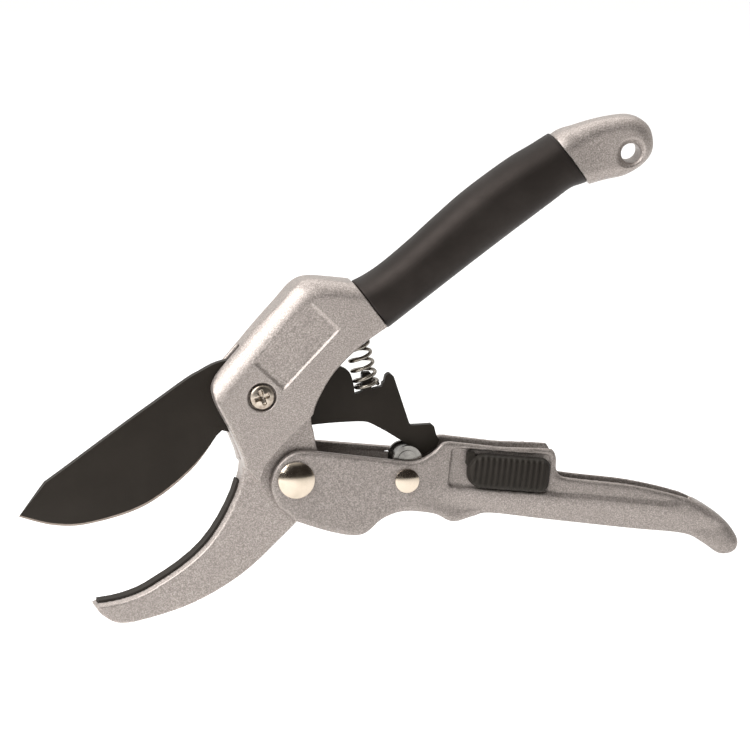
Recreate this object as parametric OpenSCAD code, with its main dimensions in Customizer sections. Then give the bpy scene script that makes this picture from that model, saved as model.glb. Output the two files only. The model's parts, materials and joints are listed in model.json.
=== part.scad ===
// Anvil pruner with a roller lever, a ribbed sliding lock and a curved anvil jaw.
// Lengths are in millimetres. The tool stands in the X-Z plane: the jaws point to -X, the
// upper handle rises to +X +Z, and every pivot runs along Y. The front of the tool faces -Y.
// Outlines are drawn from the blade pivot; the finished part has its origin in the hang hole.

/* [Head and upper handle] */
// Width of the head casting across the tool
head_w = 16; // [15.4:0.2:17]
// Width of the casting at the hang hole
tail_w = 10.4; // [9.6:0.2:11]
// Radius of the hang hole
hang_r = 2.8; // [2.4:0.1:3.2]
// Outside depth of the grip sleeve, across the tool
grip_w = 17; // [16:0.5:18.5]
// Wall of the grip sleeve
grip_wall = 1.9; // [1.5:0.1:2.2]

/* [Blade and anvil] */
// Thickness of the blade steel
blade_t = 2.6; // [2.2:0.1:2.8]
// Angle that the blade turns from open to closed, in degrees
blade_travel = 23.75; // [23:0.25:23.75]
// Thickness of the anvil plate
anvil_t = 2; // [1.6:0.1:2.4]
// Width of the anvil plate
anvil_w = 4.8; // [4:0.2:5.6]
// Radius of the blade pivot screw
screw_r = 2.5; // [2:0.1:2.6]

/* [Lower handle] */
// Width of the lower handle over its two plates
clevis_w = 15.8; // [15.6:0.1:16]
// Thickness of one plate of the lower handle
plate_t = 3.1; // [2.6:0.1:3.2]
// Width of the lower handle behind the plates
rail_w = 12.6; // [12:0.2:13.4]
// Radius of the handle rivet
rivet_r = 3; // [2.6:0.1:3.2]
// Radius of the link rivet
link_r = 1.5; // [1.2:0.1:1.5]

/* [Roller and lock] */
// Radius of the roller, where the blade rests on it
roller_r = 3.4; // [3.2:0.05:3.4]
// Distance that the lock button slides
lock_travel = 3.9; // [3.2:0.1:4]
// Number of ribs on the lock button
rib_count = 13; // [9:1:15]

/* [Return spring] */
// Outside radius of the spring
spring_r = 3.7; // [3.4:0.1:3.7]
// Diameter of the spring wire
wire_d = 1.1; // [0.8:0.1:1.2]
// Number of turns
turns = 8.5; // [7:0.5:9]

/* [Hidden] */
$fn = 48;

// Places of the pivots and the hang hole, from the blade pivot (X, Z).
handle_axis = [9.7, -24];
link_axis = [41.3, -25.4];
roller_axis = [42.1, -20.2];
hang_axis = [106, 65];

run = 0.05;                            // running clearance on a radius
fit = 0.02;                            // gap between pieces that are fixed together
washer_t = 0.4;
chamfer = 0.8;
slot_w = blade_t + 2 * (washer_t + run);
clevis_gap = clevis_w - 2 * plate_t;
lug_w = clevis_gap - 2 * (washer_t + run);
rail_wall = 2.4;
screw_head_r = 3.45;
counterbore_r = 4;
counterbore_depth = 1.6;
nut_flats = 8;
nut_depth = 3;
bush_r = rivet_r + 1.2;
big = 200;

// Lock: its track runs down to the right in line with the top of the lower handle.
lock_tilt = -6.5;
button_at = [70.2, -24.2];
button_size = [24, 10.4];
button_rise = 2.8;
rib_h = 0.8;
neck_size = [9.6, 4];                  // the button's neck, which runs in a slot
pocket_depth = 1.2;
pocket_gap = 0.35;
neck_gap = 0.15;
plate_at = [2, 0.6];                   // the lock's plate and bolt, from the button's middle
plate_size = [16, 7];
bolt_at = [2.8, 1];
bolt_size = [15, 3];
bolt_plate_t = 1.2;
detent_at = [4, -4.2];
detent_size = [8, 2];

// Upper handle: its slope, and the ends of the grip as distances from its middle.
handle_middle = [58.5, 43.9];
handle_slope = 36.6;
grip_front = -33.3;
grip_rear = 36.2;
core_high = 5.6;
core_wide = grip_w / 2 - grip_wall;
grip_high = 9.6;
tenon = [5, 4.4];                      // half-sizes of the bar where it enters the bare end

// Return spring: its foot on the blade, its axis leaning back into the head.
spring_foot = [31.5, -0.3];
spring_lean = 12.8;
spring_length = 22.5;
pocket_r = spring_r + 0.35;

// ---- curves ----
function bend(a, b, c, d, t) = 0.5 * (2 * b + (c - a) * t + (2 * a - 5 * b + 4 * c - d) * t * t
                                      + (3 * b - a - 3 * c + d) * t * t * t);
// A smooth line through the given points, with n steps between two of them.
function curve(p, n = 4) =
    [for (i = [0:len(p) - 2]) for (k = [0:n - 1])
        bend(p[max(i - 1, 0)], p[i], p[i + 1], p[min(i + 2, len(p) - 1)], k / n),
     p[len(p) - 1]];
function turned(p, a) = [p.x * cos(a) - p.y * sin(a), p.x * sin(a) + p.y * cos(a)];
function backwards(p) = [for (i = [len(p) - 1:-1:0]) p[i]];
function unit(v) = v / norm(v);
// The same line moved sideways by d, to the left of its direction.
function shifted(p, d) = [for (i = [0:len(p) - 1])
    let (v = unit(p[min(i + 1, len(p) - 1)] - p[max(i - 1, 0)])) p[i] + d * [-v.y, v.x]];
function oval(a, b, n = 48) = [for (i = [0:n - 1]) [a * cos(360 * i / n), b * sin(360 * i / n)]];

// ---- outlines, from the blade pivot ----
edge = curve([[-11, -11.2], [-19, -21.9], [-32.2, -31.5], [-47.8, -35.9], [-58, -35.9],
              [-67.9, -33.1]]);
// The bevel starts along this line on the flat of the blade, one point for each edge point.
bevel = curve([[-10, -10.2], [-17, -8.6], [-29, -15.5], [-46, -24.4], [-56, -25.2],
               [-66.4, -31.2]]);
blade_back = concat([[-60.4, -23.4]],
                    curve([[-54.5, -19.3], [-45.2, -12.7], [-35.4, -5.8], [-28.5, -1.1],
                           [-20.6, 4.3], [-16.7, 6.5], [-10, 9.4], [2, 10.4], [12, 8.6],
                           [21, 6.9]]),
                    curve([[23.4, 6.6], [25.9, 5.2], [27.1, 2.2], [27.6, -1.4]]));
spring_seat = [[29.8, -0.8], [29.9, 4], [30.5, 4.5], [31.6, 4.5], [32.2, 3.9], [32.4, -0.2]];
blade_tail = concat([[35.4, 0.5], [35.6, 1.6], [36.1, 1.8]],
                    curve([[36.4, 3.4], [37.5, 4.2], [38.8, 3.2]]),
                    [[43.3, -10.7], [50, -10.8], [51, -14.1], [51.9, -15.4], [50.9, -17.5],
                     [47.4, -19.4], [36.5, -12.3]],
                    curve([[32.9, -10.25], [30.2, -9.3], [23.6, -9.25], [15.4, -9.7],
                           [0, -11.4], [-8.3, -10.8]]));
blade_outline = concat(bevel, blade_back, spring_seat, blade_tail);

// Where the edge comes to rest. Behind the cutting length the anvil falls away a little.
fall_away = 0.3;                       // degrees, for each point nearer to the pivot
anvil_edge = concat([for (i = [3:len(edge) - 3]) edge[i]],
                    [(edge[len(edge) - 3] + edge[len(edge) - 2]) / 2]);
anvil_face = [for (i = [0:len(anvil_edge) - 1])
    turned(anvil_edge[i], blade_travel + max(0, 9 - i) * fall_away)];
anvil_bed = shifted(anvil_face, anvil_t);
lip_drop = 0.5;                        // the jaw's rims stand this far below the anvil face
anvil_peg_at = [6, 12];                // points of the anvil face with a peg below them
anvil_peg_r = 1.2;
anvil_peg_top = 0.6;                   // the pegs' depths below the face
anvil_peg_foot = 6.5;

jaw_outer = curve([[-46.6, -58.9], [-45.1, -61], [-40.3, -63.6], [-32.6, -62.8],
                   [-18.8, -58.6], [-5.2, -51], [6.1, -40.9], [12.9, -33.8], [17.4, -26]]);
head_right = concat([[17.4, -20], [16, -15.2]],
                    curve([[15.4, -11.4], [14.6, -7.2], [15.6, -2.4], [20.5, 5.9], [28, 13.2],
                           [36.8, 19.2]]));
head_left = concat(curve([[29, 29.8], [19.7, 31.9], [12.6, 32.1], [5.2, 25.3], [-0.6, 19.5],
                          [-5.9, 13.2], [-12.8, 4.9], [-13.1, -0.8], [-8.3, -10.5],
                          [-5.1, -18.3], [-5, -22.6]]));
casting_outline = concat(jaw_outer, head_right, [[42, 23]], [[36, 30]], head_left,
                         shifted(anvil_face, lip_drop));

grip_top = curve([[27.4, 31.2], [36, 35.4], [50.9, 48.2], [59.5, 55.6], [71.4, 63.7],
                  [84.4, 70.6]]);
grip_bottom = curve([[93.2, 56.4], [88.9, 55.7], [71.5, 42.8], [47.5, 25.1], [36.8, 17.1]]);
bare_end = curve([[84.2, 70.4], [90.5, 72.8], [98.6, 74.8], [106.4, 75.3], [111.5, 72.3],
                  [112.8, 66.4], [110.4, 62], [104.9, 58.6], [98.6, 57.3], [91.7, 55.3]]);

handle_top = concat(curve([[3.1, -28.4], [2.6, -24.6], [4, -20.4], [7.6, -16.9], [12.4, -15.9],
                           [23.7, -17.4], [36, -19.2], [43.5, -20.1], [48.6, -18],
                           [51.6, -15.4], [54, -15]]),
                    [[68, -17.1], [82, -18.2], [84, -19.1], [84.8, -21.3], [84.8, -24.2]],
                    curve([[86, -26.2], [90.7, -27.3], [107, -29.8],
                           [121.6, -33.8], [129.6, -37.9], [134.8, -42.3], [137.8, -47.2]]));
handle_bottom = concat(curve([[136.8, -50.5], [132.5, -51.1], [127.3, -47.5], [121.6, -44.6],
                              [107, -42.6], [81.8, -38.9], [66, -36.5], [60.9, -37.3],
                              [55.1, -38.5], [49.3, -35.6], [41, -34.4], [34.7, -36.2],
                              [28.7, -40.6], [20.5, -39.7], [9.6, -36], [4.6, -31.8]]));
handle_outline = concat(handle_top, handle_bottom);
// The far plate stands a little higher than the near one between the two rivets.
far_crest = concat([[12, -18], [12.6, -15.7]], curve([[15, -15], [17.7, -15.4], [39, -17.9],
                   [44, -18.2], [48.2, -17.4], [51.6, -15.2]]), [[54, -15.1], [54, -20]]);
// The channel: open at the top, with a floor that starts behind the jaw.
channel = concat([[-10, -10], [-10, -60], [24, -60], [27, -37.6], [34, -33.2], [41, -31.6],
                  [49, -32.8], [55.5, -35.2], [62, -33.8], [80, -35.4], [107, -38.6],
                  [119, -40], [124.5, -37], [127.5, -31], [124, -10]]);
// Where the casting steps down to the thickness of the jaw, so that the plates can swing
// beside it. The last straight part of the step is the slanting line above the jaw.
thin_side = [[60, -5.5], [14.6, -5.5], [4.9, -14.8], [1.2, -19.2], [0, -22.4], [-0.2, -24.6],
             [-0.4, -24.8], [-14, -10.2], [-80, -10.2], [-80, -80], [60, -80]];
// Where the blade and its tail pass through the head.
blade_slot = [[-30, -4], [-14.6, 6.4], [-5.5, 13.6], [6, 14.6], [19, 18.8], [30, 23], [38, 23.4],
              [44, 18], [40, -10.2], [10, -11], [6, -14.5], [-1, -18.6], [-9, -18.6],
              [-30, -30]];
// The crest of the broad round shoulder of the head.
shoulder_at = [-0.9, 19.8];
shoulder_slope = 49;
shoulder_r = 7;
// A shallow panel, sunk into the front of the head.
panel = [[-1.6, 9.7], [6.1, 2.5], [21.5, 18.5], [14.1, 25.6]];
panel_depth = 0.4;

// ---- helpers ----
// Moves a shape drawn from the blade pivot to the part's own origin.
module placed() { translate([-hang_axis.x, 0, -hang_axis.y]) children(); }
// A slab of an X-Z outline, t wide and centred on y.
module slab(points, t, y = 0) {
    translate([0, y, 0]) rotate([90, 0, 0]) linear_extrude(t, center = true) polygon(points);
}
// A straight pin along Y from y0 to y1.
module pin(at, r, y0, y1) {
    translate([at.x, y1, at.y]) rotate([90, 0, 0]) cylinder(h = y1 - y0, r = r);
}
// A column seen from above, as wide as the plan points say.
module plan(points) { translate([0, 0, -big / 2]) linear_extrude(big) polygon(points); }
function both_sides(p) = concat([for (q = p) [q.x, -q.y]], backwards(p));
// A bar along the upper handle, between two distances from the handle's middle.
module along_handle(from, to, points) {
    translate([handle_middle.x, 0, handle_middle.y]) rotate([0, 90 - handle_slope, 0])
        translate([0, 0, from]) linear_extrude(to - from) polygon(points);
}
// Pins square to the anvil face, from depth a to depth b below it.
module anvil_studs(r, a, b) {
    for (i = anvil_peg_at) {
        p = anvil_face[i];
        v = anvil_face[i + 1] - anvil_face[i - 1];
        translate([p.x, 0, p.y]) rotate([0, atan2(-v.y, v.x), 0])
            translate([0, 0, a]) cylinder(h = b - a, r = r);
    }
}
// A turned piece with its axis along Y; its profile is [radius, distance towards the front].
module revolved(at, profile) {
    translate([at.x, 0, at.y]) rotate([90, 0, 0]) rotate_extrude($fn = 64) polygon(profile);
}
// A low dome of radius r that rises by h, from its rim to its top.
function dome(r, h, at) = let (ball = (r * r + h * h) / (2 * h))
    [for (i = [0:8]) let (x = r * (1 - i / 8)) [x, at + sqrt(ball * ball - x * x) - ball + h]];
// A rivet through the lower handle with a dome on each side.
module domed_rivet(at, r, head_r, rise) {
    half = clevis_w / 2 + fit;
    front = concat([[r, half]], dome(head_r, rise, half));
    revolved(at, concat(front, [for (p = backwards(front)) [p.x, -p.y]]));
}

// ---- pieces of the frame ----
frame_plan = both_sides([[-60, head_w / 2], [40, head_w / 2], [78, head_w / 2 - 0.6],
                         [99, tail_w / 2], [120, tail_w / 2]]);

// Everything below the broad round shoulder on the upper left side of the head.
module shoulder_block() {
    flat = head_w / 2 - shoulder_r;
    translate([shoulder_at.x, 0, shoulder_at.y]) rotate([0, -shoulder_slope, 0]) {
        for (side = [-1, 1])
            translate([-big / 2, side * flat, -shoulder_r]) rotate([0, 90, 0])
                cylinder(h = big, r = shoulder_r);
        translate([-big / 2, -flat, -shoulder_r]) cube([big, 2 * flat, shoulder_r]);
        translate([-big / 2, -head_w, -big]) cube([big, 2 * head_w, big - shoulder_r]);
    }
}

module frame_casting() {
    color("silver") placed() difference() {
        union() {
            difference() {
                intersection() {
                    slab(casting_outline, 2 * head_w);
                    plan(frame_plan);
                    shoulder_block();
                }
                along_handle(grip_front, grip_rear, oval(12, 12));
            }
            along_handle(grip_front - 6, grip_rear, oval(core_high, core_wide));
            along_handle(grip_rear - 1, grip_rear + 4, oval(tenon.x, tenon.y));
            difference() {
                intersection() {
                    slab(bare_end, 2 * head_w);
                    plan(frame_plan);
                }
                along_handle(grip_front, grip_rear, oval(12, 12));
            }
        }
        for (side = [-1, 1])
            slab(thin_side, head_w, side * (lug_w / 2 + head_w / 2));
        slab(blade_slot, slot_w);
        slab(panel, 2 * panel_depth, -head_w / 2);
        slab(concat(anvil_face, backwards(anvil_bed)), anvil_w + 2 * fit);
        pin([0, 0], screw_r + run, -head_w, head_w);
        pin([0, 0], counterbore_r, -head_w, counterbore_depth - head_w / 2);
        translate([0, head_w / 2 - nut_depth, 0]) rotate([-90, 0, 0])
            cylinder(h = head_w, r = (nut_flats / 2 + run) / cos(30), $fn = 6);
        pin(handle_axis, bush_r + fit, -head_w, head_w);
        pin(hang_axis, hang_r, -head_w, head_w);
        for (side = [-1, 1])
            translate([hang_axis.x, side * (tail_w / 2 - chamfer), hang_axis.y])
                rotate([-90 * side, 0, 0])
                    cylinder(h = 2 * chamfer, r1 = hang_r, r2 = hang_r + 2 * chamfer);
        translate([spring_foot.x, 0, spring_foot.y]) rotate([0, -spring_lean, 0])
            translate([0, 0, 8]) cylinder(h = spring_length - 8 + 0.1, r = pocket_r);
        anvil_studs(anvil_peg_r + fit, 0, anvil_peg_foot + fit);
    }
}

module grip_sleeve() {
    color("#2c2a29") placed() difference() {
        intersection() {
            slab(concat(grip_top, grip_bottom), 2 * head_w);
            along_handle(grip_front + fit, grip_rear - fit, oval(grip_high, grip_w / 2));
        }
        along_handle(2 * grip_front, 2 * grip_rear, oval(core_high + fit, core_wide + fit));
    }
}

module anvil_plate() {
    color("#3a3836") placed() difference() {
        slab(concat(anvil_face, backwards(shifted(anvil_face, anvil_t - fit))), anvil_w);
        anvil_studs(anvil_peg_r + fit, anvil_peg_top - fit, anvil_peg_foot);
    }
}

module anvil_pegs() {
    color("gray") placed() anvil_studs(anvil_peg_r, anvil_peg_top, anvil_peg_foot);
}

module pivot_screw() {
    seat = head_w / 2 - counterbore_depth + fit;
    rim = head_w / 2 - 0.1;
    color("silver") placed() difference() {
        revolved([0, 0], concat([[0, 0.4 - head_w / 2], [screw_r, 0.4 - head_w / 2],
                                 [screw_r, seat], [screw_head_r, seat]],
                                dome(screw_head_r, 0.8, rim)));
        for (turn = [20, 110])
            translate([0, -rim - 0.6, 0]) rotate([0, turn, 0]) cube([3.8, 1.6, 0.8], center = true);
    }
}

module pivot_nut() {
    color("silver") placed() difference() {
        translate([0, head_w / 2 - nut_depth + fit, 0]) rotate([-90, 0, 0])
            cylinder(h = nut_depth - 0.3, r = nut_flats / 2 / cos(30), $fn = 6);
        pin([0, 0], screw_r + fit, 0, head_w);
    }
}

module blade_washers() {
    color("silver") placed() for (side = [-1, 1]) difference() {
        translate([0, side * (blade_t / 2 + washer_t / 2 + run / 2), 0]) rotate([90, 0, 0])
            cylinder(h = washer_t, r = 7, center = true);
        pin([0, 0], screw_r + run, -head_w, head_w);
    }
}

module handle_bush() {
    color("silver") placed() difference() {
        pin(handle_axis, bush_r, -lug_w / 2, lug_w / 2);
        pin(handle_axis, rivet_r + run, -head_w, head_w);
    }
}

module handle_washers() {
    color("silver") placed() for (side = [-1, 1]) difference() {
        translate([handle_axis.x, side * (lug_w / 2 + washer_t / 2 + run / 2), handle_axis.y])
            rotate([90, 0, 0]) cylinder(h = washer_t, r = 5.6, center = true);
        pin(handle_axis, rivet_r + run, -head_w, head_w);
    }
}

// ---- the blade ----
// Half-thickness of the blade where the bevel meets the edge.
edge_half = 0.12;
module blade_bevel() {
    n = len(edge);
    rows = [for (i = [0:n - 1]) [
        [bevel[i].x, -blade_t / 2, bevel[i].y], [edge[i].x, -edge_half, edge[i].y],
        [edge[i].x, edge_half, edge[i].y], [bevel[i].x, blade_t / 2, bevel[i].y]]];
    points = [for (row = rows) each row];
    sides = [for (i = [0:n - 2]) for (k = [0:3])
        [4 * i + k, 4 * i + (k + 1) % 4, 4 * i + 4 + (k + 1) % 4, 4 * i + 4 + k]];
    polyhedron(points, concat(sides, [[3, 2, 1, 0]],
                              [[4 * n - 4, 4 * n - 3, 4 * n - 2, 4 * n - 1]]));
}

module blade() {
    color("#34302c") placed() difference() {
        union() {
            slab(blade_outline, blade_t);
            blade_bevel();
        }
        pin([0, 0], screw_r + run, -head_w, head_w);
    }
}

// ---- pieces of the lower handle ----
handle_plan = both_sides([[-10, clevis_w / 2], [45, clevis_w / 2], [60, rail_w / 2],
                          [122, rail_w / 2], [140, rail_w / 2 - 1.4]]);
channel_plan = both_sides([[-10, clevis_gap / 2], [45, clevis_gap / 2],
                           [60, rail_w / 2 - rail_wall], [128, rail_w / 2 - rail_wall]]);
wall_out = rail_w / 2;
wall_in = rail_w / 2 - rail_wall;
// A box in line with the lock's track, at a place from the button's middle.
module track_box(size, at_x, at_z, y0, y1) {
    translate([button_at.x, 0, button_at.y]) rotate([0, -lock_tilt, 0])
        translate([at_x - size.x / 2, y0, at_z - size.y / 2]) cube([size.x, y1 - y0, size.y]);
}

module lower_handle() {
    color("silver") placed() difference() {
        union() {
            intersection() {
                slab(handle_outline, 3 * head_w);
                plan(handle_plan);
            }
            intersection() {
                slab(far_crest, head_w, head_w / 2);
                plan(handle_plan);
            }
        }
        intersection() {
            slab(channel, 3 * head_w);
            plan(channel_plan);
        }
        pin(handle_axis, rivet_r + fit, -head_w, head_w);
        pin(link_axis, link_r + fit, -head_w, head_w);
        track_box(button_size + [lock_travel + 2 * pocket_gap, 2 * pocket_gap],
                  -lock_travel / 2, 0, -head_w, pocket_depth - wall_out);
        track_box(neck_size + [lock_travel + 2 * neck_gap, 2 * neck_gap],
                  -lock_travel / 2, 0, -head_w, 0);
    }
}

module handle_rivet() {
    color("silver") placed() domed_rivet(handle_axis, rivet_r, 5.25, 1.7);
}

module link_rivet() {
    color("silver") placed() domed_rivet(link_axis, link_r, 3.45, 0.9);
}

// ---- rocker and roller ----
cheek_in = 3.3;                        // from the middle plane to a cheek
cheek_t = 1.1;
cheek_low_r = 3.1;
cheek_high_r = 4.1;
roller_pin_r = 1.3;
pin_head_r = 2.8;
pin_head_t = 0.3;
web_half = 1.8;
web_top = 2;
web_low = 2.9;
module rocker() {
    color("silver") placed() difference() {
        union() {
            for (side = [-1, 1]) {
                y = side * (cheek_in + cheek_t / 2);
                pin(link_axis, cheek_low_r, y - cheek_t / 2, y + cheek_t / 2);
                pin(roller_axis, cheek_high_r, y - cheek_t / 2, y + cheek_t / 2);
                slab([link_axis - [cheek_low_r, 0], link_axis + [cheek_low_r, 0],
                      roller_axis + [cheek_high_r, 0], roller_axis - [cheek_high_r, 0]],
                     cheek_t, y);
            }
            // The web that joins the two cheeks below the rivet.
            slab([link_axis + [-web_half, -web_top], link_axis + [web_half, -web_top],
                  link_axis + [web_half, -web_low], link_axis + [-web_half, -web_low]],
                 2 * cheek_in + cheek_t);
        }
        pin(link_axis, link_r + run, -head_w, head_w);
        pin(roller_axis, roller_pin_r + fit, -head_w, head_w);
    }
}

module roller() {
    color("silver") placed() difference() {
        pin(roller_axis, roller_r, -cheek_in + 0.1, cheek_in - 0.1);
        pin(roller_axis, roller_pin_r + run, -head_w, head_w);
    }
}

module roller_pin() {
    shank = cheek_in + cheek_t + fit;
    color("silver") placed() {
        pin(roller_axis, roller_pin_r, -shank - pin_head_t, shank + pin_head_t);
        for (side = [-1, 1]) {
            y = side * (shank + pin_head_t / 2);
            pin(roller_axis, pin_head_r, y - pin_head_t / 2, y + pin_head_t / 2);
        }
    }
}

// ---- return spring ----
module return_spring() {
    steps = 14;
    sides = 8;
    n = ceil(turns * steps);
    mean_r = spring_r - wire_d / 2;
    rise = spring_length - wire_d - 0.5;
    function height(i) = let (s = i / n, dead = 1 / turns)
        (s < dead ? s * 0.5 : s > 1 - dead ? 1 - (1 - s) * 0.5
                  : dead * 0.5 + (s - dead) * (1 - dead) / (1 - 2 * dead)) * rise;
    points = [for (i = [0:n]) let (a = 360 * turns * i / n) for (k = [0:sides - 1])
        let (b = 360 * k / sides, r = mean_r + wire_d / 2 * cos(b))
            [r * cos(a), r * sin(a), height(i) + wire_d / 2 * sin(b)]];
    faces = concat([for (i = [0:n - 1]) for (k = [0:sides - 1])
        [sides * i + k, sides * i + (k + 1) % sides,
         sides * (i + 1) + (k + 1) % sides, sides * (i + 1) + k]],
        [[for (k = [sides - 1:-1:0]) k]], [[for (k = [0:sides - 1]) sides * n + k]]);
    color("gainsboro") placed() translate([spring_foot.x, 0, spring_foot.y])
        rotate([0, -spring_lean, 0]) translate([0, 0, wire_d / 2 + 0.25])
            polyhedron(points, faces);
}

// ---- lock ----
lock_rivet_r = 1;
bolt_front = 0.15 - wall_in;
module lock_button() {
    pitch = (button_size.x - 2) / rib_count;
    color("#2a2827") placed() difference() {
        union() {
            track_box(button_size, 0, 0, rib_h - wall_out - button_rise,
                      pocket_depth - wall_out - fit);
            for (i = [0:rib_count - 1])
                track_box([pitch * 0.6, button_size.y - 0.8],
                          (i - (rib_count - 1) / 2) * pitch, 0,
                          -wall_out - button_rise, 1.1 * rib_h - wall_out - button_rise);
            track_box(neck_size, 0, 0, -wall_out, -wall_in - fit);
        }
        pin(button_at, lock_rivet_r + fit, -head_w, head_w);
    }
}

module lock_bolt() {
    color("gray") placed() difference() {
        union() {
            track_box(plate_size, plate_at.x, plate_at.y, bolt_front, bolt_front + bolt_plate_t);
            track_box(bolt_size, bolt_at.x, bolt_at.y, bolt_front, wall_in - 0.3);
        }
        pin(button_at, lock_rivet_r + fit, -head_w, head_w);
    }
}

module lock_rivet() {
    color("silver") placed()
        pin(button_at, lock_rivet_r, -wall_out - 1.2, bolt_front + bolt_plate_t);
}

module lock_detent() {
    color("gray") placed()
        track_box(detent_size, detent_at.x, detent_at.y, fit - wall_in, 0.5 - wall_in);
}

frame_casting();
grip_sleeve();
anvil_plate();
anvil_pegs();
blade();
pivot_screw();
pivot_nut();
blade_washers();
handle_bush();
handle_washers();
handle_rivet();
lower_handle();
link_rivet();
rocker();
roller();
roller_pin();
return_spring();
lock_button();
lock_bolt();
lock_rivet();
lock_detent();
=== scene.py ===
"""Looks of the anvil pruner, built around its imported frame.

Shapes are worked out in millimetres from the blade pivot (X towards the handle end, Z up, Y to the
back) and turned into metres in the frame's own axes. Cast and moulded pieces are signed-distance
shapes that are turned into meshes; turned, wound and ground pieces are built point by point.
"""

import json
import math

import bmesh
import bpy
import numpy as np
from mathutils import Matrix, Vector


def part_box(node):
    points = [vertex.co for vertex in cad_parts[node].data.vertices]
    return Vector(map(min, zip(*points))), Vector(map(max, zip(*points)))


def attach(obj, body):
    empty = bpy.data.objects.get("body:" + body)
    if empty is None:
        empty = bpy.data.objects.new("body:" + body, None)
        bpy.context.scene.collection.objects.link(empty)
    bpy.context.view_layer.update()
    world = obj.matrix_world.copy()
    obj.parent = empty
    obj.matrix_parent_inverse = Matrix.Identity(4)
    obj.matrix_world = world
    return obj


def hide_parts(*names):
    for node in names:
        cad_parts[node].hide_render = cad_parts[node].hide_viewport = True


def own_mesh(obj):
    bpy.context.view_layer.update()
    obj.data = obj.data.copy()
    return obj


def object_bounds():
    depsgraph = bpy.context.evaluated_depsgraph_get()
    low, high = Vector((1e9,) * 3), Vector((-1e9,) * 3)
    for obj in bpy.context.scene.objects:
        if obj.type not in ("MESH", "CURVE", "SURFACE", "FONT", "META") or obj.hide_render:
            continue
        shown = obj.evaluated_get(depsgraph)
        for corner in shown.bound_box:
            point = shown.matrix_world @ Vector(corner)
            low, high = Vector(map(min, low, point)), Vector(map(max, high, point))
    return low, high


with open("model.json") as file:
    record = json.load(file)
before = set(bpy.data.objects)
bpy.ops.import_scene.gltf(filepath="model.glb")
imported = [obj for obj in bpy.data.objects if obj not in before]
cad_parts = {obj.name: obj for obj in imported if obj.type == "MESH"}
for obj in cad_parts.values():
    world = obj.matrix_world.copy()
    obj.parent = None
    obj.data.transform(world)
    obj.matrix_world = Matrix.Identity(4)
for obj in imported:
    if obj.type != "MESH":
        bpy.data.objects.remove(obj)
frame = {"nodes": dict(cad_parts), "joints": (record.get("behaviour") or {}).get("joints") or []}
cad_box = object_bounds()

# ---------------------------------------------------------------- places, from the frame
MM = 0.001
JOINT = {joint["name"]: joint for joint in frame["joints"]}
ORIGIN = np.array(JOINT["blade_pivot"]["pos_m"])


def from_joint(name):
    """A joint's place in the X-Z plane, in mm from the blade pivot."""
    place = (np.array(JOINT[name]["pos_m"]) - ORIGIN) / MM
    return np.array([place[0], place[2]])


def from_node(name):
    """A node's lowest and highest corners, in mm from the blade pivot."""
    low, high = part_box(name)
    return (np.array(low) - ORIGIN) / MM, (np.array(high) - ORIGIN) / MM


HANDLE_AXIS = from_joint("handle_pivot")
LINK_AXIS = from_joint("rocker_pivot")
HANG_AXIS = np.array([-ORIGIN[0], -ORIGIN[2]]) / MM
BLADE_TRAVEL = JOINT["blade_pivot"]["range_deg"][1]
LOCK_TRAVEL = JOINT["lock_slide"]["range_m"][1] / MM

# Half-widths along Y.
HEAD_HALF = from_node("pivot_nut")[1][1] + 0.3
LUG_HALF = from_node("handle_bush")[1][1]
ANVIL_HALF = from_node("anvil_plate")[1][1]
BLADE_HALF = from_node("blade")[1][1]
CLEVIS_HALF = from_node("lower_handle")[1][1]
CLEVIS_GAP_HALF = CLEVIS_HALF - 3.1
RAIL_HALF = 6.3
TAIL_HALF = 5.2

HANG_R = 2.8
SCREW_HEAD_R = from_node("pivot_screw")[1][0]
SPRING_FOOT, SPRING_LEAN = (31.5, -0.3), 12.8
SPRING_LENGTH, SPRING_R = 22.5, 3.7


# ---------------------------------------------------------------- lines and outlines
def curve(points, steps=5):
    """A smooth line through the points."""
    p = [np.array(q, float) for q in points]
    line = []
    for i in range(len(p) - 1):
        a, b, c, d = p[max(i - 1, 0)], p[i], p[i + 1], p[min(i + 2, len(p) - 1)]
        for k in range(steps):
            t = k / steps
            line.append(0.5 * (2 * b + (c - a) * t + (2 * a - 5 * b + 4 * c - d) * t ** 2
                               + (3 * b - a - 3 * c + d) * t ** 3))
    return line + [p[-1]]


def turned(point, degrees):
    """The point turned about the blade pivot."""
    c, s = math.cos(math.radians(degrees)), math.sin(math.radians(degrees))
    return np.array([point[0] * c - point[1] * s, point[0] * s + point[1] * c])


def shifted(line, distance):
    """The line moved sideways, to the left of its direction."""
    moved = []
    for i, p in enumerate(line):
        along = line[min(i + 1, len(line) - 1)] - line[max(i - 1, 0)]
        along = along / np.linalg.norm(along)
        moved.append(p + distance * np.array([-along[1], along[0]]))
    return moved


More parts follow.
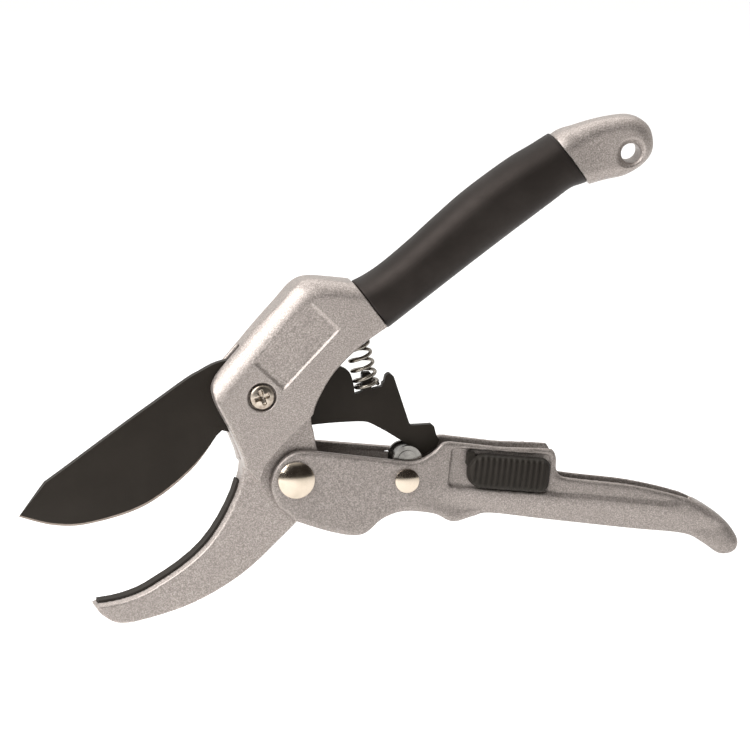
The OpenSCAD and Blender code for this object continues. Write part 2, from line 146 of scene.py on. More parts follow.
EDGE = curve([(-11, -11.2), (-19, -21.9), (-32.2, -31.5), (-47.8, -35.9), (-58, -35.9),
              (-67.9, -33.1)], 8)
BEVEL = curve([(-10.2, -10.3), (-19.6, -8.0), (-30.6, -16.8), (-44.0, -24.1), (-54.5, -25.6),
               (-61.8, -25.2)], 8)
BLADE_BACK = ([(-60.4, -23.4)]
              + curve([(-54.5, -19.3), (-45.2, -12.7), (-35.4, -5.8), (-28.5, -1.1), (-20.6, 4.3),
                       (-16.7, 6.5), (-10, 9.4), (2, 10.4), (12, 8.6), (21, 6.9), (23.4, 6.6),
                       (25.9, 5.2), (27.1, 2.2), (27.6, -1.4)]))
SPRING_SEAT = [(29.7, -0.8), (29.7, 4.2), (30.1, 4.7), (32.0, 4.7), (32.4, 4.3), (32.4, -0.2)]
BLADE_TAIL = ([(35.4, 0.5), (35.6, 1.6), (36.1, 1.8)]
              + curve([(36.4, 3.4), (37.0, 4.0), (37.8, 4.15), (38.8, 3.2)])
              + [(43.1, -9.9)] + curve([(43.4, -10.6), (44.2, -10.9), (49.6, -10.8)], 3)
              + [(50.3, -11.4), (51, -14.1), (51.9, -15.4), (50.9, -17.5), (47.4, -19.4),
                 (36.5, -12.3)]
              + curve([(32.9, -10.25), (30.2, -9.3), (23.6, -9.25), (15.4, -9.7), (0, -11.4),
                       (-8.3, -10.8)]))

# The insert's face is the closed blade's edge, opened a little further towards the root.
ROOT_POINTS, ROOT_OPENING = 24, 0.15
ANVIL_FACE = [turned(p, BLADE_TRAVEL + max(0, ROOT_POINTS - i) * ROOT_OPENING)
              for i, p in enumerate(EDGE)][6:-3]
JAW_OUTER = curve([(-46.6, -58.9), (-45.1, -61), (-40.3, -63.6), (-32.6, -62.8),
                   (-18.8, -58.6), (-5.2, -51), (6.1, -40.9), (12.9, -33.8), (17.4, -26)])
HEAD_RIGHT = [(17.4, -20)] + curve([(16, -15.2), (15.4, -11.4), (14.6, -7.2), (15.6, -2.4),
                                    (20.5, 5.9), (28, 13.2), (36.8, 19.2)])
HEAD_LEFT = curve([(28, 30.6), (19.7, 31.9), (13.4, 32.3), (9.4, 29.9), (5.2, 25.3),
                   (-0.6, 19.5), (-5.9, 13.2), (-12.8, 4.9), (-13.1, -0.8), (-8.3, -10.5),
                   (-5.1, -18.3), (-5, -22.6)])
LIP_DROP = 0.5
CASTING = (JAW_OUTER + HEAD_RIGHT + [(46, 26), (38, 37)] + HEAD_LEFT
           + shifted(ANVIL_FACE, LIP_DROP))
JAW_SIDE = ([(-2, 10), (-5, -18)] + shifted(ANVIL_FACE, LIP_DROP)
            + [(-60, -60), (-60, -90), (60, -90), (60, 10)])
BARE_END = curve([(76, 62), (84.2, 70.4), (90.5, 72.8), (98.6, 74.8), (106.4, 75.3),
                  (111.5, 72.3), (112.8, 66.4), (110.4, 62), (104.9, 58.6), (98.6, 57.3),
                  (91.7, 55.3), (84, 51)])
THIN_SIDE = [(60, -5.5), (14.6, -5.5), (4.9, -14.8), (1.2, -19.2), (0, -22.4), (-0.2, -24.6),
             (-0.4, -24.8), (-14, -10.2), (-80, -10.2), (-80, -80), (60, -80)]
BLADE_SLOT = [(-30, -4), (-14.6, 6.4), (-5.5, 13.6), (6, 14.6), (19, 18.8), (30, 23),
              (38, 23.4), (44, 18), (40, -10.2), (10, -11), (6, -14.5), (-1, -18.6), (-9, -18.6),
              (-30, -30)]
PANEL = [(-1.6, 9.7), (6.1, 2.5), (21.5, 18.5), (14.1, 25.6)]
HANDLE = (curve([(4.6, -31.8), (3.1, -28.4), (2.6, -24.6), (4, -20.4), (7.6, -16.9),
                 (12.4, -15.9), (23.7, -17.4), (36, -19.2), (43.5, -20.1), (48.6, -18),
                 (51.6, -15.4), (54, -15)])
          + curve([(68, -17.1), (81.8, -18.2), (84.0, -19.1), (84.8, -21.3), (84.8, -24.2),
                   (86.0, -26.2), (90.7, -27.3), (107, -29.8), (121.6, -33.8), (129.6, -37.9),
                   (134.8, -42.3), (137.8, -47.2), (136.8, -50.5), (132.5, -51.1),
                   (127.3, -47.5), (121.6, -44.6), (107, -42.6), (81.8, -38.9), (66, -36.5),
                   (60.9, -37.3), (55.1, -38.5), (49.3, -35.6), (41, -34.4), (34.7, -36.2),
                   (28.7, -40.6), (20.5, -39.7), (9.6, -36)]))
FAR_CREST = ([(12, -18), (12.6, -15.7)]
             + curve([(15, -15), (17.7, -15.4), (39, -17.9), (44, -18.2), (48.2, -17.4),
                      (51.6, -15.2)]) + [(54, -15.1), (54, -20)])
CHANNEL = [(-10, -10), (-10, -60), (24, -60), (27, -37.6), (34, -33.2), (41, -31.6),
           (49, -32.8), (55.5, -35.2), (62, -33.8), (80, -35.4), (107, -38.6), (119, -40),
           (124.5, -37), (127.5, -31), (124, -10)]


# ---------------------------------------------------------------- signed-distance shapes
def outline(points, x, z):
    """Signed distance to a closed X-Z outline, below zero inside."""
    p = np.array([tuple(q) for q in points], np.float32)
    shape = np.broadcast_shapes(x.shape, z.shape)
    best = np.full(shape, 1e9, np.float32)
    inside = np.zeros(shape, bool)
    for a, b in zip(p, np.roll(p, -1, axis=0)):
        ex, ez = b - a
        if ex * ex + ez * ez < 1e-9:
            continue
        wx, wz = x - a[0], z - a[1]
        t = np.clip((wx * ex + wz * ez) / (ex * ex + ez * ez), 0, 1)
        best = np.minimum(best, (wx - ex * t) ** 2 + (wz - ez * t) ** 2)
        side = ex * wz - ez * wx
        inside ^= ((z >= a[1]) & (z < b[1]) & (side > 0)) | ((z < a[1]) & (z >= b[1]) & (side < 0))
    return np.where(inside, -1, 1) * np.sqrt(best)


def slab(flat, y, half, r):
    """A plate of half-thickness half from a flat distance, its rims rounded by r."""
    a, b = flat + r, np.abs(y) - half + r
    outer = np.sqrt(np.maximum(a, 0) ** 2 + np.maximum(b, 0) ** 2)
    return np.minimum(np.maximum(a, b), 0) + outer - r


def round_over(flat, y, half, wide, deep):
    """A plate with elliptical rims, wide across its outline and deep along its thickness."""
    a, b = (flat + wide) / wide, (np.abs(y) - half + deep) / deep
    outer = np.sqrt(np.maximum(a, 0) ** 2 + np.maximum(b, 0) ** 2)
    return (np.minimum(np.maximum(a, b), 0) + outer - 1) * min(wide, deep)


def join(a, b, k=0.4):
    """Union with a fillet."""
    h = np.maximum(k - np.abs(a - b), 0) / k
    return np.minimum(a, b) - h * h * k / 4


def common(a, b, k=0.4):
    """Intersection with a rounded edge."""
    return -join(-a, -b, k)


def cut(a, b, k=0.4):
    """Takes b away from a and rounds the rim."""
    return common(a, -b, k)


def ramp(value, low, high):
    """Rises smoothly from 0 at low to 1 at high."""
    t = np.clip((value - low) / (high - low), 0, 1)
    return t * t * (3 - 2 * t)


def disc(x, z, at, r):
    """Distance to a circle."""
    return np.hypot(x - at[0], z - at[1]) - r


def box2(u, v, half_u, half_v, r):
    """Distance to a flat rounded rectangle."""
    a, b = np.abs(u) - half_u + r, np.abs(v) - half_v + r
    return np.hypot(np.maximum(a, 0), np.maximum(b, 0)) + np.minimum(np.maximum(a, b), 0) - r


def along_line(at, line):
    """The height of a line of rising X at each X."""
    return np.interp(at, [p[0] for p in line], [p[1] for p in line])


def line_side(x, z, a, b):
    """Distance to the left of the line from a to b."""
    along = np.array(b, float) - np.array(a, float)
    along /= np.linalg.norm(along)
    return -(x - a[0]) * along[1] + (z - a[1]) * along[0]


def skin(shape, low, high, step):
    """Vertices and quads of the surface where shape(x, y, z) is zero, in mm.

    Each grid cell that the surface crosses gets one vertex, at the mean of the crossings on its
    edges, and each grid edge that crosses the surface gets one quad, between its four cells.
    """
    axes = [np.arange(a, b + step, step, dtype=np.float32) for a, b in zip(low, high)]
    x, y, z = axes[0][:, None, None], axes[1][None, :, None], axes[2][None, None, :]
    d = np.broadcast_to(shape(x, y, z), (len(axes[0]), len(axes[1]), len(axes[2])))
    d = np.ascontiguousarray(d, dtype=np.float32)
    neg = d < 0
    cells = np.zeros([n - 1 for n in d.shape], np.int8)
    corners = [(i, j, k) for i in (0, 1) for j in (0, 1) for k in (0, 1)]
    for i, j, k in corners:
        cells += neg[i:d.shape[0] - 1 + i, j:d.shape[1] - 1 + j, k:d.shape[2] - 1 + k]
    at = np.argwhere((cells > 0) & (cells < 8))
    value = {c: d[at[:, 0] + c[0], at[:, 1] + c[1], at[:, 2] + c[2]] for c in corners}
    total = np.zeros((len(at), 3))
    count = np.zeros(len(at))
    for c in corners:
        for axis in range(3):
            if c[axis]:
                continue
            e = tuple(1 if n == axis else v for n, v in enumerate(c))
            a, b = value[c], value[e]
            hit = (a < 0) != (b < 0)
            t = np.where(hit, a / np.where(hit, a - b, 1), 0)
            place = np.array(c, float) + np.eye(3)[axis] * t[:, None]
            total += place * hit[:, None]
            count += hit
    points = np.array(low) + (at + total / count[:, None]) * step
    index = np.full(cells.shape, -1, np.int64)
    index[at[:, 0], at[:, 1], at[:, 2]] = np.arange(len(at))
    quads = []
    for axis in range(3):
        u, v = (axis + 1) % 3, (axis + 2) % 3
        first = [slice(None)] * 3
        second = [slice(None)] * 3
        first[axis], second[axis] = slice(0, -1), slice(1, None)
        flips = neg[tuple(first)] != neg[tuple(second)]
        edges = np.argwhere(flips)
        keep = np.all(edges[:, [u, v]] > 0, axis=1)
        keep &= edges[:, u] < cells.shape[u]
        keep &= edges[:, v] < cells.shape[v]
        edges = edges[keep]
        ring = []
        for du, dv in ((0, 0), (-1, 0), (-1, -1), (0, -1)):
            cell = edges.copy()
            cell[:, u] += du
            cell[:, v] += dv
            ring.append(index[cell[:, 0], cell[:, 1], cell[:, 2]])
        ring = np.stack(ring, axis=1)
        starts_in = neg[edges[:, 0], edges[:, 1], edges[:, 2]]
        quads.append(ring[starts_in])
        quads.append(ring[~starts_in][:, ::-1])
    return points, np.concatenate(quads)


# ---------------------------------------------------------------- objects
def to_frame(points):
    """Points in mm from the blade pivot, in the frame's metres."""
    return np.asarray(points, float) * MM + ORIGIN


def new_object(name, points, faces, smooth=True):
    """A mesh object from points in mm and faces."""
    mesh = bpy.data.meshes.new(name)
    faces = faces.tolist() if isinstance(faces, np.ndarray) else faces
    mesh.from_pydata(to_frame(points).tolist(), [], faces)
    mesh.validate()
    mesh.update()
    if smooth:
        mesh.shade_smooth()
    piece = bpy.data.objects.new(name, mesh)
    bpy.context.scene.collection.objects.link(piece)
    return piece


def cast_piece(name, shape, low, high, step):
    """A piece from a signed-distance shape, meshed between two corners."""
    points, quads = skin(shape, low, high, step)
    return new_object(name, points, quads)


def finish_piece(piece, material, body, node):
    """Gives a piece its material and its body, and hides the CAD node that it stands for."""
    piece.data.materials.clear()
    piece.data.materials.append(material)
    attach(piece, body)
    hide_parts(node)
    return piece


def soften(piece, width, angle=35):
    """Rounds the edges of a piece that are sharper than the angle."""
    bevel = piece.modifiers.new("rounded", "BEVEL")
    bevel.width = width * MM
    bevel.segments = 2
    bevel.limit_method = "ANGLE"
    bevel.angle_limit = math.radians(angle)
    return bevel


# ---------------------------------------------------------------- materials
class Surface:
    """A procedural material under construction."""

    def __init__(self, name, color, metallic, roughness, **inputs):
        self.material = bpy.data.materials.new(name)
        self.material.use_nodes = True
        self.tree = self.material.node_tree
        self.shader = self.tree.nodes["Principled BSDF"]
        self.shader.inputs["Metallic"].default_value = metallic
        self.shader.inputs["Roughness"].default_value = roughness
        self.shader.inputs["Base Color"].default_value = (*color, 1)
        for key, value in inputs.items():
            self.shader.inputs[key.replace("_", " ")].default_value = value
        self.coords = self.tree.nodes.new("ShaderNodeTexCoord").outputs["Object"]
        self.color = self.shader.inputs["Base Color"]
        self.base = color

    def link(self, a, b):
        self.tree.links.new(a, b)

    def stretched(self, scale, turn=(0, 0, 0)):
        """Coordinates scaled and turned, for noise that runs in one direction."""
        mapping = self.tree.nodes.new("ShaderNodeMapping")
        mapping.inputs["Scale"].default_value = scale
        mapping.inputs["Rotation"].default_value = [math.radians(a) for a in turn]
        self.link(self.coords, mapping.inputs["Vector"])
        return mapping.outputs["Vector"]

    def noise(self, scale, detail=3, vector=None, roughness=0.5):
        node = self.tree.nodes.new("ShaderNodeTexNoise")
        node.inputs["Scale"].default_value = scale
        node.inputs["Detail"].default_value = detail
        node.inputs["Roughness"].default_value = roughness
        self.link(vector or self.coords, node.inputs["Vector"])
        return node.outputs["Fac"]

    def cells(self, scale):
        """A random grey value for each small cell."""
        node = self.tree.nodes.new("ShaderNodeTexVoronoi")
        node.inputs["Scale"].default_value = scale
        self.link(self.coords, node.inputs["Vector"])
        split = self.tree.nodes.new("ShaderNodeSeparateColor")
        self.link(node.outputs["Color"], split.inputs["Color"])
        return split.outputs["Red"]

    def levels(self, value, low, high, from_low=0.0, from_high=1.0):
        """The value's range from_low to from_high spread over low to high."""
        node = self.tree.nodes.new("ShaderNodeMapRange")
        node.inputs["From Min"].default_value = from_low
        node.inputs["From Max"].default_value = from_high
        node.inputs["To Min"].default_value = low
        node.inputs["To Max"].default_value = high
        self.link(value, node.inputs["Value"])
        return node.outputs["Result"]

    def tint(self, factor, color):
        """Mixes the colour so far towards another one."""
        node = self.tree.nodes.new("ShaderNodeMix")
        node.data_type = "RGBA"
        if self.color.is_linked:
            self.link(self.color.links[0].from_socket, node.inputs["A"])
        else:
            node.inputs["A"].default_value = (*self.base, 1)
        node.inputs["B"].default_value = (*color, 1)
        self.link(factor, node.inputs["Factor"])
        self.link(node.outputs["Result"], self.color)

    def rough(self, value):
        self.link(value, self.shader.inputs["Roughness"])

    def bump(self, height, strength, distance):
        node = self.tree.nodes.new("ShaderNodeBump")
        node.inputs["Strength"].default_value = strength
        node.inputs["Distance"].default_value = distance
        if self.shader.inputs["Normal"].is_linked:
            self.link(self.shader.inputs["Normal"].links[0].from_socket, node.inputs["Normal"])
        self.link(height, node.inputs["Height"])
        self.link(node.outputs["Normal"], self.shader.inputs["Normal"])


def cast_metal(name, shade):
    """Shot-blasted casting with sparkling flakes; shade scales its lightness, and a lower shade
    paints shade into a darker copy for a piece that stands in less light.
    """
    def lit(*color):
        return tuple(shade * c for c in color)

    s = Surface(name, lit(0.35, 0.31, 0.287), 0.75, 0.46)
    grain = s.noise(2900, 2)
    flakes = s.cells(3300)
    s.tint(s.levels(flakes, 0.0, 0.6), lit(0.66, 0.59, 0.55))
    s.tint(s.levels(grain, 0.0, 0.62, 0.62, 0.38), lit(0.165, 0.145, 0.132))
    s.tint(s.levels(s.noise(90, 4), 0, 0.25, 0.4, 0.7), lit(0.30, 0.266, 0.246))
    s.rough(s.levels(flakes, 0.38, 0.56))
    s.bump(grain, 0.55, 0.00012)
    s.bump(s.noise(700, 2), 0.25, 0.0002)
    return s.material


def grip_vinyl():
    """Matte dipped vinyl."""
    s = Surface("grip_vinyl", (0.0082, 0.0069, 0.006), 0.0, 0.5, Specular_IOR_Level=0.25,
                Specular_Tint=(1, 0.84, 0.77, 1))
    s.tint(s.levels(s.noise(55, 5), 0, 1, 0.45, 0.7), (0.017, 0.0145, 0.013))
    s.rough(s.levels(s.noise(320, 4), 0.42, 0.62))
    s.bump(s.noise(1500, 3), 0.25, 0.00008)
    s.bump(s.noise(120, 2), 0.2, 0.0004)
    return s.material


def blade_coat():
    """Matte black non-stick coating with faint scuffs."""
    s = Surface("blade_coat", (0.0105, 0.0085, 0.0066), 0.0, 0.5, Specular_IOR_Level=0.2,
                Specular_Tint=(1, 0.9, 0.82, 1))
    s.tint(s.levels(s.noise(70, 5), 0, 1, 0.4, 0.75), (0.0145, 0.012, 0.0095))
    scuffs = s.noise(260, 5, s.stretched((1, 1, 0.12), (0, 35, 0)))
    s.rough(s.levels(scuffs, 0.42, 0.6))
    s.bump(s.noise(2200, 2), 0.2, 0.00005)
    return s.material


def ground_steel():
    """The bare strip of the cutting edge."""
    s = Surface("ground_steel", (0.20, 0.165, 0.14), 1.0, 0.4)
    lines = s.noise(900, 3, s.stretched((0.2, 1, 1)))
    s.tint(s.levels(lines, 0, 1, 0.4, 0.7), (0.30, 0.25, 0.215))
    s.rough(s.levels(lines, 0.28, 0.5))
    s.bump(lines, 0.2, 0.00003)
    return s.material


def plated(name, color, worn, scale, roughness=0.16):
    """Bright plating with duller, darker patches."""
    s = Surface(name, color, 1.0, roughness)
    s.rough(s.levels(s.noise(400, 4), roughness * 0.6, roughness * 1.5))
    s.tint(s.levels(s.noise(scale, 4), 0, 1, 0.42, 0.68), worn)
    s.bump(s.noise(900, 3), 0.06, 0.00004)
    return s.material


def zinc():
    """Dull zinc plate."""
    s = Surface("zinc", (0.46, 0.44, 0.40), 1.0, 0.34)
    s.rough(s.levels(s.noise(600, 4), 0.22, 0.48))
    s.tint(s.levels(s.noise(180, 4), 0, 1, 0.45, 0.75), (0.34, 0.32, 0.29))
    s.bump(s.noise(1400, 3), 0.12, 0.00005)
    return s.material


def anvil_steel():
    """Dark steel, scuffed lengthwise."""
    s = Surface("anvil_steel", (0.026, 0.0225, 0.019), 0.0, 0.7, Specular_IOR_Level=0.06)
    lines = s.noise(500, 4, s.stretched((0.25, 3, 0.25)))
    s.tint(s.levels(lines, 0, 1, 0.45, 0.7), (0.035, 0.031, 0.028))
    s.rough(s.levels(lines, 0.6, 0.8))
    s.bump(lines, 0.25, 0.00008)
    return s.material


def black_plastic():
    """Moulded plastic, fine satin."""
    s = Surface("black_plastic", (0.012, 0.0100, 0.0079), 0.0, 0.6, Specular_IOR_Level=0.25,
                Specular_Tint=(1, 0.92, 0.84, 1))
    s.rough(s.levels(s.noise(900, 3), 0.5, 0.68))
    s.tint(s.levels(s.noise(130, 4), 0, 1, 0.5, 0.8), (0.017, 0.0145, 0.012))
    s.bump(s.noise(2600, 2), 0.25, 0.00005)
    return s.material


# The lower handle's copy of the casting colour is darker (0.82): painted shade, for the less light
# that falls on it.
CAST, CAST_PAINTED_SHADE = cast_metal("cast_aluminium", 0.96), cast_metal("cast_aluminium_painted_shade", 0.82)
VINYL, COAT, GROUND = grip_vinyl(), blade_coat(), ground_steel()
ZINC, ANVIL, PLASTIC = zinc(), anvil_steel(), black_plastic()
NICKEL = plated("nickel", (0.58, 0.50, 0.41), (0.50, 0.43, 0.345), 260)
SCREW = plated("worn_nickel", (0.50, 0.44, 0.37), (0.26, 0.21, 0.17), 700, 0.3)
WIRE = plated("spring_wire", (0.27, 0.245, 0.21), (0.13, 0.115, 0.10), 300, 0.2)
ROLLER = plated("roller_steel", (0.27, 0.262, 0.245), (0.15, 0.143, 0.135), 420, 0.22)


# ---------------------------------------------------------------- upper casting
HANDLE_MIDDLE = np.array([58.5, 43.9])
HANDLE_SLOPE = 36.6
GRIP_FRONT, GRIP_REAR = -33.3, 36.2
ALONG = turned((1, 0), HANDLE_SLOPE)
ACROSS = turned((0, 1), HANDLE_SLOPE)


def handle_coords(x, z):
    """Distances along and across the upper handle from its middle."""
    dx, dz = x - HANDLE_MIDDLE[0], z - HANDLE_MIDDLE[1]
    return dx * ALONG[0] + dz * ALONG[1], dx * ACROSS[0] + dz * ACROSS[1]


# The lines that the head's shoulder and crown start from, how far the rounding reaches across
# the head and into it, and how softly the two meet.
SHOULDER = ((8.0, 30.0), (-14.2, 4.46))
CROWN = ((28.5, 31.4), (12, 33.2))
SHOULDER_WIDE, SHOULDER_DEEP, CROWN_BLEND = 7.2, 7.8, 5.0
CROWN_STEEPNESS = 1.4
# The bar inside the sleeve, and the bare end behind it.
BAR_HALF_HIGH, BAR_HALF_WIDE = 5.9, 6.3
BAR_MIDDLE, BAR_REACH = 1.5, 36
END_FRONT_HALF = 7.4
DISH_DEPTH = 1.6
# The jaw falls away from the insert by one part across for two down.
JAW_SLOPE = 2
# The recesses, and the room left around the pieces that sit in them.
PANEL_DEPTH, WALL_45 = 0.62, 0.707
COUNTERBORE_R, COUNTERBORE_DEPTH = 4.0, 1.6
NUT_HALF, NUT_DEPTH = 4.1, 3
GROOVE_DEPTH = 2.0
BLADE_PLAY, SPRING_PLAY, ANVIL_PLAY = 0.45, 0.35, 0.02


def bar(t, y):
    """The oval bar that the sleeve is dipped over."""
    return (np.hypot(t / BAR_HALF_HIGH, y / BAR_HALF_WIDE) - 1) * BAR_HALF_HIGH


def head(x, y, z):
    """The head and the jaw, with a broad round shoulder along the upper left and its crown."""
    body = slab(outline(CASTING, x, z), y, HEAD_HALF, 0.7 + 0.5 * ramp(z, -10, 10))
    shoulder = line_side(x, z, *SHOULDER)
    crown = line_side(x, z, *CROWN)
    rim = common(-shoulder, -CROWN_STEEPNESS * crown, CROWN_BLEND)
    rounded = round_over(rim, y, HEAD_HALF + 0.04, SHOULDER_WIDE, SHOULDER_DEEP)
    return common(body, rounded, 0.25)


def bare_end(x, y, z):
    """The end behind the sleeve, thinner towards the hang hole, which has a dished rim."""
    taper = ramp(x, 84, 99)
    half = END_FRONT_HALF * (1 - taper) + TAIL_HALF * taper
    end = slab(outline(BARE_END, x, z), y, half, 6.2 - 2.2 * taper)
    end = np.maximum(end, GRIP_REAR - handle_coords(x, z)[0])
    dish = np.maximum(np.abs(y) - TAIL_HALF + DISH_DEPTH, 0)
    return cut(end, disc(x, z, HANG_AXIS, HANG_R) - dish, 0.4)


def spring_pocket(x, y, z):
    """A round hole along the spring's axis."""
    lean = math.radians(SPRING_LEAN)
    dx, dz = x - SPRING_FOOT[0], z - SPRING_FOOT[1]
    u = dx * math.cos(lean) + dz * math.sin(lean)
    v = dz * math.cos(lean) - dx * math.sin(lean)
    return np.maximum(np.hypot(u, y) - SPRING_R - SPRING_PLAY, v - SPRING_LENGTH - 0.1)


def casting(x, y, z):
    """The head and jaw, the bar and the bare end in one piece, with all their recesses."""
    s, t = handle_coords(x, z)
    body = np.maximum(head(x, y, z), s - GRIP_FRONT)
    core = np.maximum(bar(t, y), np.abs(s - BAR_MIDDLE) - BAR_REACH)
    body = np.minimum(np.minimum(body, core), bare_end(x, y, z))
    # The lug between the plates of the lower handle, and the jaw's sloping sides.
    thin = outline(THIN_SIDE, x, z)
    body = cut(body, common(thin, LUG_HALF - np.abs(y), 0.5), 0.3)
    lip = (JAW_SLOPE * outline(JAW_SIDE, x, z) + np.abs(y) - ANVIL_HALF) * 0.447
    body = common(body, np.minimum(lip, -thin), 0.2)
    # The slot of the blade, and the shallow panel with its sloping walls.
    slot = outline(BLADE_SLOT, x, z)
    body = cut(body, np.maximum(slot, np.abs(y) - BLADE_HALF - BLADE_PLAY), 0.5)
    floor_y = HEAD_HALF - PANEL_DEPTH
    wall = (outline(PANEL, x, z) + floor_y + y) * WALL_45
    body = cut(body, np.maximum(wall, floor_y + y), 0.08)
    # The screw's counterbore in front, and the nut's hexagon at the back.
    counterbore = disc(x, z, (0, 0), COUNTERBORE_R)
    body = cut(body, np.maximum(counterbore, HEAD_HALF - COUNTERBORE_DEPTH + y), 0.4)
    nut = np.maximum(np.abs(z), np.abs(x) * 0.866 + np.abs(z) * 0.5) - NUT_HALF
    body = cut(body, np.maximum(nut, HEAD_HALF - NUT_DEPTH - y), 0.3)
    body = cut(body, spring_pocket(x, y, z), 0.4)
    # The groove that the insert lies in.
    groove = outline(ANVIL_FACE + shifted(ANVIL_FACE, GROOVE_DEPTH)[::-1], x, z)
    return cut(body, np.maximum(groove, np.abs(y) - ANVIL_HALF - ANVIL_PLAY), 0.2)


finish_piece(cast_piece("upper_casting", casting, (-50, -8.6, -65), (115, 8.6, 78), 0.32),
             CAST, "frame", "frame_casting")


# ---------------------------------------------------------------- grip sleeve
GRIP_TOP = curve([(-34, 8.2), (-29.6, 7.2), (-23.2, 6.75), (-13.2, 7.15), (-3.5, 7.95),
                  (7.6, 8.6), (22, 8.2), (30, 7.2), (37, 6.5)])
GRIP_BOTTOM = curve([(-34, -8.5), (-20, -8.45), (-5, -8.45), (9.7, -8.6), (24.4, -8.9),
                     (31, -9.0), (34, -9.9), (37, -11.0)])
# The power of its oval section: 2 is an ellipse, more is squarer.
GRIP_SQUARENESS = 2.3
GRIP_HALF_WIDE, GRIP_SWELL = 8.0, 0.45
SLEEVE_PLAY = 0.1


def grip(x, y, z):
    """A squarish oval sleeve that swells in the middle, hollow for the bar."""
    s, t = handle_coords(x, z)
    high, low = along_line(s, GRIP_TOP), along_line(s, GRIP_BOTTOM)
    a, b = (high - low) / 2, GRIP_HALF_WIDE + GRIP_SWELL * np.cos((s - 2) / 24)
    across = (np.abs((t - (high + low) / 2) / a) ** GRIP_SQUARENESS
              + np.abs(y / b) ** GRIP_SQUARENESS)
    body = (across ** (1 / GRIP_SQUARENESS) - 1) * np.minimum(a, b)
    middle, reach = (GRIP_FRONT + GRIP_REAR) / 2, (GRIP_REAR - GRIP_FRONT) / 2 - 0.03
    body = common(body, np.abs(s - middle) - reach, 0.5)
    return np.maximum(body, SLEEVE_PLAY - bar(t, y))


finish_piece(cast_piece("grip", grip, (25, -9.2, 14), (96, 9.2, 76), 0.45),
             VINYL, "frame", "grip_sleeve")


# ---------------------------------------------------------------- lower handle
TRACK_TILT = math.radians(-6.5)
BUTTON_AT = np.array([70.2, -24.2])
BUTTON_LONG, BUTTON_HIGH = 24.0, 10.4
POCKET_DEPTH, POCKET_PLAY = 1.5, 0.4
# The radii of the holes for the big rivet and the small one.
HANDLE_SHANK, LINK_SHANK = 3.02, 1.52
# The step in at the groove, the rail's height below it, and the channel's wall.
GROOVE_STEP, RAIL_DROP, RAIL_WALL = 0.9, 7.5, 2.4


def track_coords(x, z):
    """Distances along and across the lock's track from the button's middle."""
    dx, dz = x - BUTTON_AT[0], z - BUTTON_AT[1]
    c, s = math.cos(TRACK_TILT), math.sin(TRACK_TILT)
    return dx * c + dz * s, dz * c - dx * s


GROOVE = curve([(50, -27.2), (64.8, -29.6), (80.7, -31.6), (94.4, -33.0), (107, -34.6),
                (116, -36.0), (126, -38.0)], 3)


def rail(x, y, z):
    """The handle's outer form: two plates in front, then a rail with a groove, and the hook."""
    rear = ramp(x, 44, 58)
    half = CLEVIS_HALF * (1 - rear) + RAIL_HALF * rear
    half = half - 1.0 * ramp(x, 118, 136)
    # The rail below the groove is round; the wall above it is thinner and flat.
    groove_z = along_line(x, GROOVE)
    above = (z - groove_z) * ramp(x, 76, 88) * (1 - ramp(x, 112, 124))
    wall_half = half - GROOVE_STEP * ramp(above, 0.0, 0.8)
    rounding = 1.3 + 2.0 * ramp(x, 56, 76) * (1 - ramp(above, -0.5, 0.5))
    rounding = rounding + 1.9 * ramp(x, 124, 134)
    # The far plate stands a little higher than the near one.
    crest = np.maximum(outline(FAR_CREST, x, z), -y)
    flat = np.minimum(outline(HANDLE, x, z), crest)
    body = slab(flat, y, wall_half, rounding)
    below = groove_z - RAIL_DROP + 3.2 - z
    belly = np.abs(y) - half + 1.5 * ramp(below, -3.4, 1.6) * rear
    return common(body, belly, 2.0)


def lower_handle(x, y, z):
    """The rail with its channel, the lock's pocket and slot, and the holes of the two rivets."""
    narrowing = ramp(x, 45, 60)
    gap = CLEVIS_GAP_HALF * (1 - narrowing) + (RAIL_HALF - RAIL_WALL) * narrowing
    channel = common(outline(CHANNEL, x, z), np.abs(y) - gap, 0.5)
    body = cut(rail(x, y, z), channel, 1.2 - 0.7 * ramp(x, 70, 90))
    u, v = track_coords(x, z)
    shift = LOCK_TRAVEL / 2
    pocket = box2(u + shift, v, BUTTON_LONG / 2 + shift + POCKET_PLAY, BUTTON_HIGH / 2 + 0.3, 1.2)
    body = cut(body, np.maximum(pocket, RAIL_HALF - POCKET_DEPTH + y), 0.25)
    slot = box2(u + shift, v, 5.0 + shift, 2.1, 0.8)
    body = cut(body, np.maximum(slot, y), 0.3)
    body = np.maximum(body, HANDLE_SHANK - disc(x, z, HANDLE_AXIS, 0))
    return np.maximum(body, LINK_SHANK - disc(x, z, LINK_AXIS, 0))


# The lower handle takes the darker copy of the casting colour: painted shade.
finish_piece(cast_piece("channel_handle", lower_handle, (0, -8.4, -53), (139, 8.4, -12), 0.42),
             CAST_PAINTED_SHADE, "lower_handle", "lower_handle")


# ---------------------------------------------------------------- blade
# How far up the bevel the edge and its bright strip reach, and how thick the blade is there.
KEEN_PART, HONED_PART = 0.016, 0.07
KEEN_HALF, HONED_HALF = 0.05, 0.256


def up_the_bevel(part):
    """The line that lies a part of the way from the edge to the top of the bevel."""
    return [e + part * (b - e) for e, b in zip(EDGE, BEVEL)]


